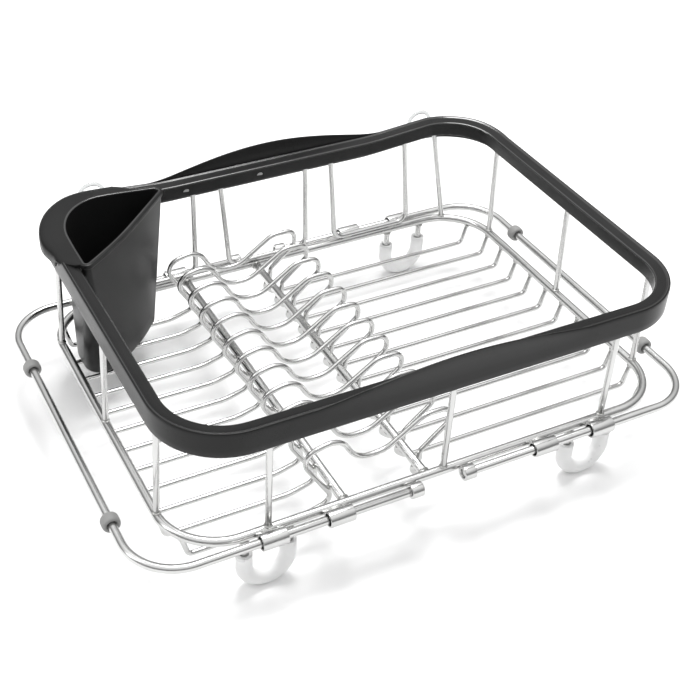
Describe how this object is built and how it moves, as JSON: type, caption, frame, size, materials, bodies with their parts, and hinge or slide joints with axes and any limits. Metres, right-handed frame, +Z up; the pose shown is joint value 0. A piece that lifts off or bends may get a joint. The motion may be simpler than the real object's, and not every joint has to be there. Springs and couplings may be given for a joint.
{
  "type": "dish drying rack",
  "caption": "Wire dish drying rack with a moulded rim, formed plate wires, a lift-off corner cutlery cup and sliding side arms that reach across a sink.",
  "frame": {"origin": "centre of the overall box at the floor that the feet stand on", "axes": "+X to the right along the rack's long side, +Y to the back, +Z up; the cutlery cup is at the back left"},
  "size_m": [0.3998, 0.276, 0.1383],
  "materials": {
    "steel_wire": "satin stainless wire",
    "rim_plastic": "charcoal satin moulding",
    "cup_plastic": "charcoal satin moulding",
    "bumper_rubber": "mid grey soft moulding",
    "cover_plastic": "milky soft tube",
    "loop_plastic": "clear moulding"
  },
  "bodies": {
    "rack": {"lower_ring": "steel_wire", "upper_ring": "steel_wire", "rim": "rim_plastic", "plate_wire_01": "steel_wire", "plate_wire_02": "steel_wire", "plate_wire_03": "steel_wire", "plate_wire_04": "steel_wire", "plate_wire_05": "steel_wire", "plate_wire_06": "steel_wire", "plate_wire_07": "steel_wire", "plate_wire_08": "steel_wire", "plate_wire_09": "steel_wire", "plate_wire_10": "steel_wire", "plate_wire_11": "steel_wire", "plate_wire_12": "steel_wire", "left_rail": "steel_wire", "right_rail": "steel_wire", "left_upright_front": "steel_wire", "left_upright_middle": "steel_wire", "left_upright_back": "steel_wire", "left_back_corner_wire": "steel_wire", "left_clear_loop": "loop_plastic", "right_upright_front": "steel_wire", "right_upright_middle": "steel_wire", "right_upright_back": "steel_wire", "right_back_corner_wire": "steel_wire", "right_clear_loop": "loop_plastic", "front_upright_left": "steel_wire", "front_upright_middle": "steel_wire", "front_upright_right": "steel_wire", "back_u_wire_left": "steel_wire", "back_u_wire_middle": "steel_wire", "back_u_wire_right": "steel_wire", "left_front_foot": "steel_wire", "left_back_foot": "steel_wire", "right_front_foot": "steel_wire", "right_back_foot": "steel_wire", "left_front_foot_cover": "cover_plastic", "left_back_foot_cover": "cover_plastic", "right_front_foot_cover": "cover_plastic", "right_back_foot_cover": "cover_plastic", "left_front_sleeve_inner": "steel_wire", "left_front_sleeve_outer": "steel_wire", "left_back_sleeve_inner": "steel_wire", "left_back_sleeve_outer": "steel_wire", "right_front_sleeve_inner": "steel_wire", "right_front_sleeve_outer": "steel_wire", "right_back_sleeve_inner": "steel_wire", "right_back_sleeve_outer": "steel_wire"},
    "left_arm": {"left_arm": "steel_wire", "left_front_stop_collar": "steel_wire", "left_back_stop_collar": "steel_wire", "left_front_bumper": "bumper_rubber", "left_back_bumper": "bumper_rubber"},
    "right_arm": {"right_arm": "steel_wire", "right_front_stop_collar": "steel_wire", "right_back_stop_collar": "steel_wire", "right_front_bumper": "bumper_rubber", "right_back_bumper": "bumper_rubber"},
    "cutlery_cup": {"cutlery_cup": "cup_plastic"}
  },
  "joints": [
    {"name": "left_arm_slide", "type": "slide", "parent": "rack", "child": "left_arm", "axis": [-1, 0, 0], "range_m": [-0.0165, 0.035]},
    {"name": "right_arm_slide", "type": "slide", "parent": "rack", "child": "right_arm", "axis": [1, 0, 0], "range_m": [-0.009, 0.043]},
    {"name": "cutlery_cup_lift", "type": "slide", "parent": "rack", "child": "cutlery_cup", "axis": [0, 0, 1], "range_m": [0, 0.125]}
  ]
}
